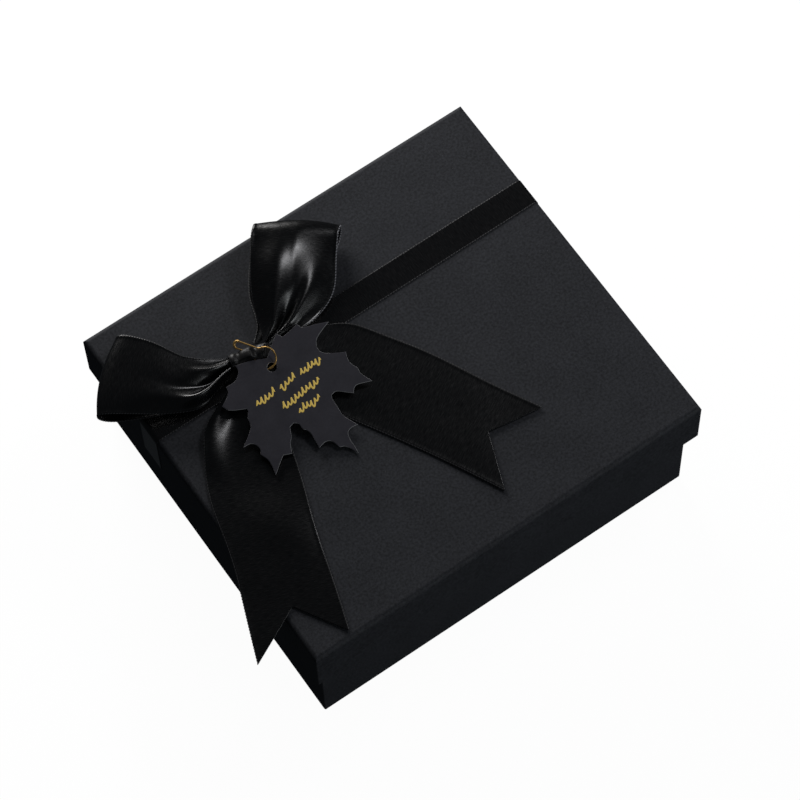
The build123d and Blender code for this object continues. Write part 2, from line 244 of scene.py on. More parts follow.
def card_face(name):
    """Smooth black card with a faint tooth and a few rubbed spots."""
    m = Mat(name)
    o = m.coord.outputs["Object"]
    a = m.noise(o, 900.0, 5.0, 0.6)
    b = m.noise(o, 130.0, 3.0, 0.5)
    tone = m.math("ADD", m.math("MULTIPLY", a, 0.5), m.math("MULTIPLY", b, 0.5))
    m.to(m.mix(m.remap(tone, 0.35, 0.65), (0.054, 0.0522, 0.0655), (0.072, 0.0698, 0.0870)), "Base Color")
    m.to(m.remap(b, 0.3, 0.7, 0.46, 0.60), "Roughness")
    m.to(m.bump(a, 0.25, 0.00003), "Normal")
    m.set(Specular_IOR_Level=0.35)
    return m.m


def card_edge(name):
    m = Mat(name)
    o = m.coord.outputs["Object"]
    ply = m.wave(m.scaled(o, 1.0, 1.0, 1.0), 2600.0, "Z", 2.0, 2.0)
    a = m.noise(o, 1600.0, 4.0, 0.7)
    m.to(m.mix(m.math("MULTIPLY", a, ply), (0.60, 0.60, 0.61), (0.86, 0.86, 0.87)), "Base Color")
    m.to(m.bump(a, 0.5, 0.00006), "Normal")
    m.to(m.remap(a, 0.3, 0.7, 0.7, 0.9), "Roughness")
    m.set(Specular_IOR_Level=0.2)
    return m.m


def fibrous(name, low, high, scale, spec=0.15):
    """Greyboard, gummed tape and dried glue: matt fibres and flecks."""
    m = Mat(name)
    o = m.coord.outputs["Object"]
    a = m.noise(m.scaled(o, 1.0, 1.7, 1.0), scale, 7.0, 0.7, 0.5)
    b = m.noise(o, scale * 0.12, 3.0, 0.5)
    m.to(m.mix(m.math("MULTIPLY", m.math("ADD", a, b), 0.5), low, high), "Base Color")
    m.to(m.remap(a, 0.3, 0.7, 0.75, 0.95), "Roughness")
    m.to(m.bump(a, 0.5, 0.0001), "Normal")
    m.set(Specular_IOR_Level=spec)
    return m.m


BLACK = ((0.0315, 0.0328, 0.0375), (0.084, 0.0878, 0.1000))
M_LID = paper("lid_wrap_paper", *BLACK, 0.22, 0.66, edges=(lid_hi.x * MM, lid_hi.y * MM, LID_TOP * MM))
bw_lo, bw_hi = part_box("base_wrap")
M_BASE = paper("base_wrap_paper", *BLACK, 0.22, 0.66, edges=(bw_hi.x, bw_hi.y, bw_hi.z))
M_LINER = paper("liner_paper_black", (0.040, 0.040, 0.043), (0.066, 0.066, 0.070), 0.22, 0.72, tint_scale=40.0)
M_SHEET = paper("bottom_sheet_black", (0.036, 0.036, 0.039), (0.060, 0.060, 0.064), 0.25, 0.68)
M_SATIN = satin("black_satin", (0.0022, 0.0022, 0.0026), (0.0048, 0.0047, 0.0055), rough=0.235, spec=0.95, sheen=0.0)
M_KNOT = satin("knot_satin", (0.0040, 0.0040, 0.0046), (0.0085, 0.0083, 0.0095), rough=0.42, spec=0.45, sheen=0.0)
M_BAND = satin("black_satin_narrow", (0.0060, 0.0060, 0.0068), (0.0092, 0.0090, 0.0102), rough=0.24, spec=0.80, sheen=0.0)
M_SELV = selvedge("satin_selvedge")
# the back loop's right selvedge, painted bright: a painted highlight, not a stitch colour
M_SELV_PAINTED_HIGHLIGHT = selvedge("satin_selvedge_painted_highlight", (0.55, 0.55, 0.60))
M_WIRE = gold("gold_plated_wire", (1.0, 0.62, 0.20), 0.34, metallic=0.62)
M_FOIL = gold("gold_foil", (1.0, 0.76, 0.20), 0.34, 1500.0, 0.4, metallic=0.0)
foil_bsdf = M_FOIL.node_tree.nodes["Principled BSDF"]    # painted glow: a faint emission makes the gold foil brighter, though the foil is no lamp
foil_bsdf.inputs["Emission Color"].default_value = (1.0, 0.68, 0.13, 1.0)
foil_bsdf.inputs["Emission Strength"].default_value = 0.20
M_CARD = card_face("black_card")
M_EDGE_AND_RIM_HIGHLIGHT = card_edge("card_cut_edge_and_painted_rim")
M_BOARD = fibrous("greyboard", (0.20, 0.19, 0.17), (0.36, 0.345, 0.32), 900.0)
M_TAPE = fibrous("stay_tape", (0.36, 0.27, 0.17), (0.50, 0.39, 0.26), 1200.0)
M_GLUE = fibrous("dried_glue", (0.45, 0.43, 0.36), (0.62, 0.60, 0.52), 500.0, 0.5)


def paint(names, mat):
    for n in names:
        o = nodes[n]
        if not o.material_slots:
            o.data.materials.append(mat)
        for s in o.material_slots:
            s.link = "OBJECT"
            s.material = mat


paint(["lid_wrap"], M_LID)
paint(["base_wrap"], M_BASE)
paint(["base_bottom_sheet"], M_SHEET)
paint(["base_floor_liner", "base_wall_liner", "lid_liner"], M_LINER)
paint([n for n in nodes if n.startswith(("base_wall_f", "base_wall_b", "base_wall_left", "base_wall_right", "lid_skirt"))], M_BOARD)
paint(["base_floor_board", "lid_top_board"], M_BOARD)
paint(["base_corner_tapes", "lid_corner_tapes"], M_TAPE)
paint(["bow_glue_pad"], M_GLUE)
paint(["tag_pin", "tag_pin_cap"], M_WIRE)
for n in ("tag_pin", "tag_pin_cap"):
    for p in nodes[n].data.polygons:
        p.use_smooth = True


# ------------------------------------------------------------------ ribbon meshes
def spline(k, v, x):
    """Natural cubic spline through rows v at knots k, at any array x."""
    k, v = np.asarray(k, float), np.asarray(v, float)
    n, h = len(k), np.diff(k)
    A, b = np.zeros((n, n)), np.zeros((n, v.shape[1]))
    A[0, 0] = A[-1, -1] = 1.0
    for i in range(1, n - 1):
        A[i, i - 1 : i + 2] = h[i - 1], 2 * (h[i - 1] + h[i]), h[i]
        b[i] = 3 * ((v[i + 1] - v[i]) / h[i] - (v[i] - v[i - 1]) / h[i - 1])
    c = np.linalg.solve(A, b)
    x = np.asarray(x, float)
    i = np.clip(np.searchsorted(k, x, "right") - 1, 0, n - 2)
    d = (x - k[i])[..., None]
    hi = h[i][..., None]
    return v[i] + ((v[i + 1] - v[i]) / hi - hi * (2 * c[i] + c[i + 1]) / 3) * d + c[i] * d**2 + (c[i + 1] - c[i]) / (3 * hi) * d**3


def wobble(P, scale, amp, seed):
    """Slow, even noise at each point of a grid, in mm."""
    flat = P.reshape(-1, 3)
    out = np.array([noise.noise(Vector(p * scale) + Vector((seed, seed * 0.7, -seed))) for p in flat])
    return (out * amp).reshape(P.shape[:2])


def columns(n):
    """Positions across a ribbon from -1 to 1, closer together at its selvedges."""
    e = np.array([0.0, 0.010, 0.022, 0.036, 0.050, 0.068])
    inner = np.linspace(-1 + 0.068, 1 - 0.068, n)
    return np.concatenate([-1 + e[:-1], inner, (1 - e[:-1])[::-1]])


def closed_strip(name, P, U, V, mats, thick=RIBBON, selv=0.05, cord=0.10, flip=False):
    """A closed thin mesh on a grid of points P (length x across), in mm. Its outer columns are the corded selvedge."""
    n, m = P.shape[:2]
    du = np.gradient(P, axis=0)
    dv = np.gradient(P, axis=1)
    N = np.cross(du, dv)
    N /= np.linalg.norm(N, axis=2, keepdims=True) + 1e-12
    if flip:
        N = -N
    t = np.linspace(-1, 1, m) if V is None else V
    width = np.abs(t).max()
    edge = np.clip((np.abs(t) - (width - 2 * selv * width)) / (2 * selv * width), 0, 1)
    half = thick / 2 + cord * np.sin(np.pi * np.clip(edge, 0, 1)) * (edge > 0)
    half = np.broadcast_to(half, (n, m))[..., None]
    top, low = P + N * half, P - N * half
    co = np.concatenate([top.reshape(-1, 3), low.reshape(-1, 3)]) * MM
    idx = np.arange(n * m).reshape(n, m)
    a, b, c, d = idx[:-1, :-1], idx[1:, :-1], idx[1:, 1:], idx[:-1, 1:]
    up = np.stack([a, b, c, d], -1).reshape(-1, 4)
    if flip:
        up = up[:, ::-1]
    dn = up[:, ::-1] + n * m
    rim = np.concatenate([idx[0, :], idx[1:, -1], idx[-1, -2::-1], idx[-2:0:-1, 0]])
    nxt = np.roll(rim, -1)
    side = np.stack([rim, nxt, nxt + n * m, rim + n * m], -1)
    if flip:
        side = side[:, ::-1]
    faces = np.concatenate([up, dn, side]).tolist()
    me = bpy.data.meshes.new(name)
    me.from_pydata(co.tolist(), [], faces)
    me.polygons.foreach_set("use_smooth", np.ones(len(faces), bool))
    uv = np.stack([np.broadcast_to(U if U.ndim == 2 else U[:, None], (n, m)), np.broadcast_to(t, (n, m))], -1).reshape(-1, 2) * MM
    uv = np.concatenate([uv, uv])
    layer = me.uv_layers.new(name="UVMap")
    loops = np.zeros(len(me.loops), np.int32)
    me.loops.foreach_get("vertex_index", loops)
    layer.data.foreach_set("uv", uv[loops].reshape(-1).astype(np.float32))
    for x in mats:
        me.materials.append(x)
    if len(mats) > 1:
        on_edge = (np.abs(t) > width * (1 - selv)).astype(int)
        per_cell = np.broadcast_to(np.maximum(on_edge[:-1], on_edge[1:]) * (np.minimum(on_edge[:-1], on_edge[1:]) > 0), (n - 1, m - 1)).reshape(-1)
        per_rim = np.ones(len(side), int)
        me.polygons.foreach_set("material_index", np.concatenate([per_cell, per_cell, per_rim]).astype(np.int32))
    bm = bmesh.new()
    bm.from_mesh(me)
    bmesh.ops.recalc_face_normals(bm, faces=bm.faces)
    bm.to_mesh(me)
    bm.free()
    ob = bpy.data.objects.new(name, me)
    bpy.context.scene.collection.objects.link(ob)
    return ob


def teeth(s, period=1.4):
    """The picot edge: small rounded teeth along the selvedge."""
    return np.abs(((s / period) % 1.0) * 2 - 1) ** 1.5


# each row along a ribbon: a, bow of a in the middle, left e, right e, z in the middle, z at the left and right edges,
# then three ridges or valleys, each height, place across and width
def ribbon(name, axis, across, rows, seed, wide=40.0, step=0.35, across_n=44, notch=None, curl=2.2, curl_right=3.0, amp=0.25, selv_mat=None):
    K = np.array(rows, float)
    mid = np.stack([K[:, 0] + K[:, 1], (K[:, 2] + K[:, 3]) / 2, K[:, 4]], -1)
    knots = np.concatenate([[0], np.cumsum(np.linalg.norm(np.diff(mid, axis=0), axis=1))])
    total = knots[-1]
    n = int(total / step)
    t = columns(across_n)
    r = np.linspace(0, 1, n)[:, None] * np.ones((1, len(t)))
    T = np.ones((n, 1)) * t[None, :]
    if notch is None:
        s = r * total
    else:
        depth, lean = notch                                # the V cut into the end
        end = total - depth * (1 - np.abs(T) ** 0.98) - lean * (1 + T) / 2
        s = r * end
    Q = spline(knots, K, s)
    a, bow, eL, eR, zM, zL, zR = (Q[..., i] for i in range(7))
    e = (eL + eR) / 2 + (eR - eL) / 2 * T
    half = np.abs(eR - eL) / 2
    pic = 0.20 * teeth(s) * np.clip((np.abs(T) - 0.975) / 0.025, 0, 1) * np.clip(half / 20.0, 0, 1)
    e = e + np.sign(T) * pic
    aa = a + bow * (1 - T**2)
    edge = np.where(T < 0, zL - zM, zR - zM)
    z = zM + edge * np.where(T < 0, np.abs(T) ** curl, np.abs(T) ** curl_right)
    for i in range(7, K.shape[1], 3):
        h, c, w = Q[..., i], Q[..., i + 1], np.maximum(Q[..., i + 2], 0.05)
        z = z + h * np.exp(-(((T - c) / w) ** 2))
    ax, ac = np.array(axis) / np.linalg.norm(axis), np.array(across) / np.linalg.norm(across)
    P = np.stack([KNOT[0] + aa * ax[0] + e * ac[0], KNOT[1] + aa * ax[1] + e * ac[1], z], -1)
    P[..., 2] += wobble(P, 0.055, amp, seed)
    ob = closed_strip(name, P, s, t * wide / 2, [M_SATIN, selv_mat or M_SELV], selv=0.036, cord=0.13)
    return ob, total


T_AX, T_AC = (0.790, 0.613), (0.829, -0.560)
L_AX, L_AC = (-0.906, 0.423), (-0.718, -0.697)
F_AX, F_AC = (-0.350, -0.937), (0.937, -0.350)
R_AX, R_AC = (0.485, -0.875), (0.875, 0.485)
NO = (0, 0, 0.2)

#        a    bow   eL     eR     zM    zL    zR     left ridge          right ridge        valley
rows_T = [
    (8.0, 0.0, -2.0, 3.5, 81.2, 81.2, 81.2, 0, -0.4, 0.3, 0, 0.4, 0.3, 0, 0.0, 0.2),
    (17.0, 0.0, -3.0, 11.0, 80.0, 80.4, 80.2, 0.5, -0.4, 0.3, 0.5, 0.4, 0.3, 0, 0.0, 0.2),
    (30.0, 0.0, -10.0, 18.0, 79.0, 79.3, 79.3, 0.2, -0.4, 0.3, 0.2, 0.4, 0.3, 0, 0.0, 0.2),
    (45.0, 0.0, -15.5, 19.5, 78.7, 78.9, 78.9, 0, -0.4, 0.3, 0, 0.4, 0.3, 0, 0.0, 0.2),
    (57.0, 0.6, -18.2, 19.6, 79.4, 79.6, 79.4, 0, -0.4, 0.3, 0, 0.4, 0.3, 0, 0.0, 0.2),
    (62.6, 1.4, -18.6, 19.5, 82.4, 82.6, 82.0, 0, -0.4, 0.4, 0, 0.4, 0.3, 0, 0.0, 0.2),
    (64.0, 2.0, -18.5, 19.3, 86.8, 88.0, 85.8, 0, -0.4, 0.5, 0, 0.4, 0.3, 0, 0.0, 0.2),
    (63.4, 2.3, -18.3, 19.3, 90.0, 91.4, 88.4, 0.1, -0.4, 0.5, 0, 0.4, 0.3, 0, 0.0, 0.2),
    (60.6, 2.3, -18.0, 19.5, 92.3, 93.7, 90.0, 0.3, -0.42, 0.5, 0, 0.4, 0.3, 0, 0.0, 0.2),
    (54.0, 1.7, -16.8, 20.6, 92.9, 93.9, 88.6, 1.2, -0.40, 0.44, 0.0, 0.5, 0.3, 0.0, 0.20, 0.3),
    (44.0, 0.6, -14.0, 23.0, 92.1, 92.3, 83.8, 2.5, -0.42, 0.38, 0.3, 0.52, 0.24, -0.2, 0.22, 0.25),
    (32.5, 0.0, -10.2, 25.0, 90.0, 89.5, 81.4, 2.8, -0.42, 0.32, 1.2, 0.44, 0.20, -0.9, 0.12, 0.16),
    (22.5, 0.0, -5.6, 22.6, 87.7, 87.0, 81.6, 2.6, -0.42, 0.27, 1.7, 0.36, 0.18, -1.9, 0.00, 0.16),
    (14.0, 0.0, -0.4, 16.6, 86.3, 85.4, 83.8, 1.7, -0.42, 0.26, 1.3, 0.30, 0.20, -1.9, -0.06, 0.17),
    (8.6, 0.0, 2.2, 8.6, 85.8, 85.0, 84.4, 1.1, -0.42, 0.30, 0.8, 0.34, 0.25, -1.3, -0.04, 0.20),
    (4.5, 0.0, 2.4, 5.6, 85.2, 84.6, 84.2, 0.6, -0.4, 0.3, 0.4, 0.4, 0.3, -0.6, 0.0, 0.2),
]
rows_L = [
    (8.0, 0.0, -1.0, 3.5, 81.2, 81.2, 81.2, 0, -0.4, 0.3, 0, 0.4, 0.3, 0, 0.0, 0.2),
    (17.0, 0.0, 0.0, 11.0, 80.0, 80.4, 80.4, 0.4, -0.4, 0.3, 0.4, 0.4, 0.3, 0, 0.0, 0.2),
    (30.0, 0.0, -3.0, 18.0, 79.0, 79.3, 79.3, 0.2, -0.4, 0.3, 0.2, 0.4, 0.3, 0, 0.0, 0.2),
    (43.0, 0.0, -11.0, 19.0, 78.7, 78.9, 78.9, 0, -0.4, 0.3, 0, 0.4, 0.3, 0, 0.0, 0.2),
    (54.5, 0.6, -16.6, 18.8, 79.4, 79.6, 79.6, 0, -0.4, 0.3, 0, 0.4, 0.3, 0, 0.0, 0.2),
    (60.8, 1.6, -19.0, 18.4, 82.4, 82.6, 82.6, 0, -0.4, 0.3, 0, 0.4, 0.3, 0, 0.0, 0.2),
    (62.4, 2.6, -19.2, 18.2, 86.2, 86.6, 86.0, 0, -0.4, 0.3, 0, 0.4, 0.3, 0, 0.0, 0.2),
    (61.6, 3.0, -19.0, 18.4, 89.2, 89.6, 88.6, 0, -0.4, 0.3, 0, 0.4, 0.3, 0, 0.0, 0.2),
    (59.0, 2.8, -18.2, 18.8, 90.8, 91.0, 89.6, 0, -0.4, 0.3, 0, 0.4, 0.3, 0, 0.0, 0.2),
    (52.0, 1.9, -15.6, 19.6, 91.4, 91.4, 89.0, 0, -0.4, 0.4, 0.0, 0.5, 0.3, 0, 0.0, 0.3),
    (41.5, 0.6, -10.4, 20.8, 91.1, 90.8, 87.0, 0.2, -0.35, 0.4, 0.2, 0.5, 0.3, -0.2, 0.1, 0.3),
    (31.0, 0.0, -4.2, 21.4, 90.3, 89.6, 84.6, 0.2, -0.44, 0.24, 0.9, 0.62, 0.22, -0.9, 0.18, 0.25),
    (22.5, 0.0, -1.6, 21.2, 88.9, 88.2, 83.0, 0.9, -0.46, 0.17, 2.5, 0.68, 0.17, -2.1, 0.14, 0.26),
    (15.5, 0.0, -1.0, 18.6, 87.0, 86.4, 82.4, 1.8, -0.46, 0.15, 3.1, 0.58, 0.18, -2.8, 0.08, 0.26),
    (9.6, 0.0, -1.0, 9.6, 85.6, 85.0, 83.2, 1.5, -0.42, 0.22, 1.8, 0.44, 0.24, -1.9, 0.0, 0.2),
    (5.0, 0.0, -0.8, 4.0, 84.8, 84.4, 84.2, 0.6, -0.4, 0.3, 0.6, 0.4, 0.3, -0.6, 0.0, 0.2),
]
#        a    bow   eL     eR     zM    zL    zR     left roll           middle fold        right
rows_F = [
    (2.5, 0.0, -4.0, 3.0, 83.6, 83.2, 83.2, 0.3, -0.5, 0.3, 0.3, 0.4, 0.3, -0.3, 0.0, 0.3),
    (8.5, 0.0, -10.0, 1.6, 82.4, 82.2, 81.6, 0.8, -0.6, 0.4, 0.5, 0.4, 0.3, -0.6, 0.0, 0.3),
    (17.0, 0.0, -18.2, 2.6, 80.2, 80.4, 79.8, 2.3, -0.78, 0.42, 0.3, 0.35, 0.3, -0.3, 0.0, 0.3),
    (26.0, 0.0, -26.0, 4.8, 79.1, 79.0, 78.9, 3.0, -0.84, 0.42, 0.1, 0.3, 0.3, 0.0, 0.0, 0.3),
    (36.0, 0.0, -29.3, 6.6, 78.9, 78.8, 78.8, 2.0, -0.88, 0.42, 0.0, 0.3, 0.3, 0, 0.0, 0.3),
    (47.0, 0.0, -31.2, 7.8, 78.8, 78.7, 78.7, 0.9, -0.70, 0.30, 0.0, 0.3, 0.4, 0, 0.0, 0.3),
    (60.0, 0.0, -31.8, 8.4, 79.0, 78.8, 78.7, 0.4, -0.60, 0.40, 0.3, 0.1, 0.5, 0, 0.0, 0.3),
    (75.0, 0.0, -30.2, 8.6, 79.6, 79.0, 78.8, 0.1, -0.50, 0.40, 0.6, 0.25, 0.5, 0, 0.0, 0.3),
    (90.0, 0.0, -29.0, 9.2, 79.4, 78.9, 78.8, 0.0, -0.50, 0.40, 0.3, 0.45, 0.5, 0, 0.0, 0.3),
    (105.0, 0.0, -29.0, 10.2, 79.0, 78.6, 79.0, 0.0, -0.50, 0.40, 0.0, 0.5, 0.5, 0, 0.0, 0.3),
    (120.0, 0.0, -29.2, 11.0, 78.9, 78.4, 79.2, 0.0, -0.50, 0.40, 0.0, 0.5, 0.5, 0, 0.0, 0.3),
    (134.6, 0.0, -29.3, 11.5, 78.9, 78.2, 79.2, 0.0, -0.50, 0.40, 0.0, 0.5, 0.5, 0, 0.0, 0.3),
]
rows_R = [
    (2.5, 0.0, -3.0, 6.0, 83.4, 83.2, 83.2, 0.2, -0.5, 0.3, 0.2, 0.4, 0.3, 0, 0.0, 0.3),
    (8.0, 0.0, -3.4, 14.0, 82.2, 81.6, 82.0, 0.5, -0.5, 0.3, 0.5, 0.4, 0.3, -0.3, 0.0, 0.3),
    (16.0, 0.0, -4.2, 25.0, 80.2, 79.8, 79.8, 0.5, -0.5, 0.3, 0.5, 0.3, 0.3, -0.3, 0.0, 0.3),
    (28.0, 0.0, -5.0, 34.4, 79.0, 78.8, 78.9, 0.2, -0.5, 0.3, 0.2, 0.3, 0.3, 0, 0.0, 0.3),
    (41.0, 0.0, -5.2, 36.5, 78.9, 78.8, 78.8, 0.0, -0.5, 0.3, 0.0, 0.4, 0.3, 0, 0.0, 0.3),
    (62.0, 0.0, -4.8, 37.6, 78.9, 78.8, 78.8, 0.0, -0.5, 0.4, 0.1, 0.2, 0.5, 0, 0.0, 0.3),
    (92.0, 0.0, -4.8, 36.4, 79.0, 78.8, 78.8, 0.1, -0.2, 0.5, 0.0, 0.4, 0.3, 0, 0.0, 0.3),
    (124.0, 0.0, -6.2, 35.8, 79.0, 78.9, 79.0, 0.0, -0.5, 0.3, 0.0, 0.4, 0.3, 0, 0.0, 0.3),
]

loop_T, len_T = ribbon("bow_loop_back_satin", T_AX, T_AC, rows_T, 1.7, amp=0.30, curl_right=1.35, selv_mat=M_SELV_PAINTED_HIGHLIGHT)
loop_L, len_L = ribbon("bow_loop_left_satin", L_AX, L_AC, rows_L, 5.3, amp=0.30)
tail_F, len_F = ribbon("bow_tail_front_satin", F_AX, F_AC, rows_F, 9.1, notch=(19.0, 4.9), amp=0.28)
tail_R, len_R = ribbon("bow_tail_right_satin", R_AX, R_AC, rows_R, 13.9, notch=(17.2, 2.4), amp=0.22)


# the knot: ribbon gathered to about half its width and wrapped round the pinch
def knot_piece():
    rot = math.radians(-15.0)
    ux, uy = np.array([math.cos(rot), math.sin(rot)]), np.array([-math.sin(rot), math.cos(rot)])
    turn = np.linspace(0, 2 * math.pi * 0.985, 150)        # round the bundle
    w = np.linspace(-1, 1, 90)                             # across the wrap
    Wm, Tm = np.meshgrid(w, turn)
    pull = 1 - 0.22 * np.abs(Wm) ** 3
    rb, rz = 4.15 * pull, 4.45 * pull
    c, s = np.cos(Tm), np.sin(Tm)
    k = 0.80
    pleat = 0.42 * np.cos(Wm * 7.5 + 0.9 * np.sin(Tm * 1.0 + 0.6)) + 0.16 * np.cos(Wm * 15.0 - 1.1 * np.cos(Tm))
    pleat = pleat * (0.55 + 0.45 * np.sin(Tm / 2.0))
    b = np.sign(c) * np.abs(c) ** k * (rb + pleat)
    z = np.sign(s) * np.abs(s) ** k * (rz + pleat)
    # the top takes the needle in, and its front stays under the card
    z = 83.75 + np.where(z > 0, z * 1.15, z * 1.06) - 0.35 * np.maximum(0, Wm) ** 2
    a = 9.4 * Wm
    P = np.stack([KNOT[0] + a * ux[0] + b * uy[0], KNOT[1] + a * ux[1] + b * uy[1], z], -1)
    under_card = 86.3 + (P[..., 1] - 28.7) * 0.1495 - 0.35
    edge_x = np.array([-60.0, -54.4, -47.8, -41.6, -39.3, -35.1, -31.0])
    edge_y = np.array([38.0, 37.85, 36.05, 33.4, 37.1, 42.4, 43.0])
    front = np.clip((np.interp(P[..., 0], edge_x, edge_y) + 1.5 - P[..., 1]) / 1.0, 0, 1)
    P[..., 2] = np.where(P[..., 2] > under_card, P[..., 2] + (under_card - P[..., 2]) * front, P[..., 2])
    P[..., 2] = np.maximum(P[..., 2], 79.2)
    girth = np.concatenate([[0], np.cumsum(np.linalg.norm(np.diff(P[:, 45], axis=0), axis=1))])
    return closed_strip("bow_knot_satin", P, girth, w * 14.0, [M_KNOT, M_SELV], thick=0.22, selv=0.05, cord=0.05)


knot = knot_piece()


# ------------------------------------------------------------------ narrow band round the lid
def band_piece():
    hx = lid_hi.x + 0.17
    r = 2.3 + 0.17
    top, low = LID_TOP + 0.17, lid_lo.z - 0.17
    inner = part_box("ribbon_band")
    wall_out = nodes["ribbon_band"]
    b_in = lid_hi.x - 0.25 - 2.5 - 0.25 - 0.15
    pts = []
    tuck = low + 12.0
    def arc(cx, cz, rr, a0, a1, k):
        return [(cx + rr * math.cos(math.radians(a0 + (a1 - a0) * i / k)), cz + rr * math.sin(math.radians(a0 + (a1 - a0) * i / k))) for i in range(k + 1)]
    pts.append((b_in, tuck))
    pts += arc(b_in + 0.35, low + 0.35, 0.35, 180, 270, 4)
    pts += arc(hx - 0.35, low + 0.35, 0.35, 270, 360, 4)
    pts += arc(hx - r, top - r, r, 0, 90, 10)
    half = pts
    full = half + [(-x, z) for x, z in reversed(half)]
    line = np.array(full)
    seg = np.concatenate([[0], np.cumsum(np.linalg.norm(np.diff(line, axis=0), axis=1))])
    n = int(seg[-1] / 0.35)
    s = np.linspace(0, seg[-1], n)
    x, z = np.interp(s, seg, line[:, 0]), np.interp(s, seg, line[:, 1])
    t = columns(16)
    Y = BAND_Y + t[None, :] * (BAND_HALF - 0.12) + np.sign(t)[None, :] * 0.14 * teeth(s)[:, None] * np.clip((np.abs(t) - 0.96) / 0.04, 0, 1)[None, :]
    P = np.stack([np.broadcast_to(x[:, None], Y.shape), Y, np.broadcast_to(z[:, None], Y.shape)], -1).copy()
    on_top = (np.abs(z - top) < 0.3)[:, None]
    P[..., 2] += np.where(on_top, 0.05 + 0.10 * wobble(P, 0.05, 1.0, 3.3) ** 2, 0.0)
    return closed_strip("ribbon_band_satin", P, s, t * BAND_HALF, [M_BAND, M_SELV], thick=0.20, selv=0.06, cord=0.04), seg[-1]


band, len_band = band_piece()

for ob, node in ((loop_T, "bow_loop_back"), (loop_L, "bow_loop_left"), (tail_F, "bow_tail_front"), (tail_R, "bow_tail_right"), (knot, "bow_knot"), (band, "ribbon_band")):
    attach(ob, "lid")
    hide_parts(node)
print("ribbon lengths mm", len_T, len_L, len_F, len_R, len_band)


# ------------------------------------------------------------------ leaf tag
HOLE = Vector((-41.7, 28.7, 86.6))
TAG = Matrix.Translation(HOLE * MM) @ Matrix.Rotation(math.radians(8.5), 4, "X")
OUT = (0.1, -1.55)
LEAF = [
    (31.7, 5.1), (27.2, 3.5), (23.4, 1.7), (21.3, -0.9), (21.2, -4.2), (23.5, -6.5), (26.8, -8.5), (30.3, -10.2),
    (29.7, -11.4), (29.0, -14.2), (29.4, -16.7), (30.4, -18.7), (30.1, -21.5), (31.1, -24.3), (32.3, -27.1),
    (29.8, -26.2), (25.8, -25.0), (24.0, -25.7), (22.7, -27.3), (20.6, -25.6), (16.9, -22.6), (14.4, -22.7),
    (13.5, -24.4), (13.4, -28.5), (13.2, -32.7), (14.5, -36.2), (16.2, -39.8), (12.8, -39.5), (10.6, -40.7),
    (9.7, -43.9), (9.7, -47.1), (9.3, -50.4), (7.7, -46.9), (6.0, -44.7), (4.1, -43.7), (3.5, -41.5), (2.3, -39.4),
    (0.1, -38.6), (-3.3, -39.4), (-3.0, -35.6), (-2.7, -32.0), (-3.4, -29.9), (-4.5, -28.5), (-4.7, -25.7),
    (-6.3, -24.2), (-8.6, -24.8), (-10.6, -28.9), (-12.2, -30.5), (-14.5, -35.0), (-17.9, -33.6), (-20.9, -35.6),
    (-25.6, -39.2), (-24.6, -34.9), (-24.5, -31.7), (-25.8, -28.1), (-24.7, -26.1), (-25.2, -23.4), (-26.7, -21.8),
    (-30.3, -21.4), (-26.2, -18.7), (-22.8, -15.9), (-21.9, -13.9), (-21.4, -11.6), (-19.7, -9.4), (-19.4, -8.0),
    (-26.1, -4.4), (-27.7, -1.4), (-22.3, 2.1), (-21.4, 4.9), (-16.6, 5.0), (-14.0, 6.9), (-13.0, 8.4),
    (-12.8, 10.7), (-6.2, 8.9), (0.3, 6.0), (2.2, 7.2), (4.4, 9.0), (9.8, 13.1), (11.2, 10.3), (15.2, 10.8),
    (19.5, 11.7), (20.6, 9.4), (23.4, 8.1), (26.5, 7.2),
]


def eased(points, limit=48.0, k=6):
    """The outline with smooth die-cut curves between its sharp tips."""
    n = len(points)
    p = [np.array(q, float) for q in points]
    sharp = []
    for i in range(n):
        a, b = p[i] - p[i - 1], p[(i + 1) % n] - p[i]
        turn = math.degrees(math.acos(max(-1, min(1, float(a @ b / np.linalg.norm(a) / np.linalg.norm(b))))))
        sharp.append(turn > limit)
    out = []
    for i in range(n):
        j = (i + 1) % n
        d = p[j] - p[i]
        L = np.linalg.norm(d)
        def tangent(q):
            g = p[(q + 1) % n] - p[q - 1]
            return g / np.linalg.norm(g) * L
        m0 = d if sharp[i] else tangent(i)
        m1 = d if sharp[j] else tangent(j)
        for s in range(k):
            u = s / k
            h = (2 * u**3 - 3 * u**2 + 1, u**3 - 2 * u**2 + u, -2 * u**3 + 3 * u**2, u**3 - u**2)
            out.append(h[0] * p[i] + h[1] * m0 + h[2] * p[j] + h[3] * m1)
    return [tuple(q) for q in out]


